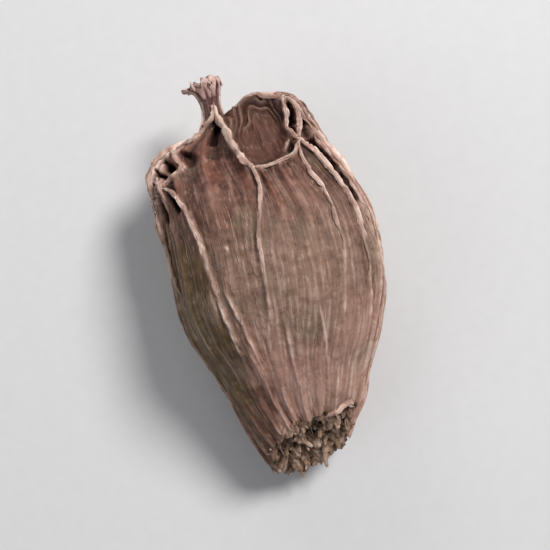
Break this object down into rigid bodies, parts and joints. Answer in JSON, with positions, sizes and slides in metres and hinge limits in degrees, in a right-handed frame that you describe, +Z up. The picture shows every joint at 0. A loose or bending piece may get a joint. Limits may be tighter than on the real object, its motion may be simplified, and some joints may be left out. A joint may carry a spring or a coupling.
{
  "type": "black cardamom pod",
  "caption": "Dried black cardamom pod lying on its side: a ribbed, shrunken husk with a dry calyx neck, a collapsed pocket beside it and a torn stalk end.",
  "frame": {"origin": "on the resting surface, under the middle of the pod's box", "axes": "+Y along the pod from the torn stalk end to the dry calyx, +X to the pod's right seen from above with the calyx away, +Z up"},
  "size_m": [0.0174, 0.0322, 0.0143],
  "materials": {
    "husk": "matte fibrous dried husk, dark grey brown with paler pinkish tan ribs"
  },
  "bodies": {
    "root": {"pod": "husk"}
  },
  "joints": []
}
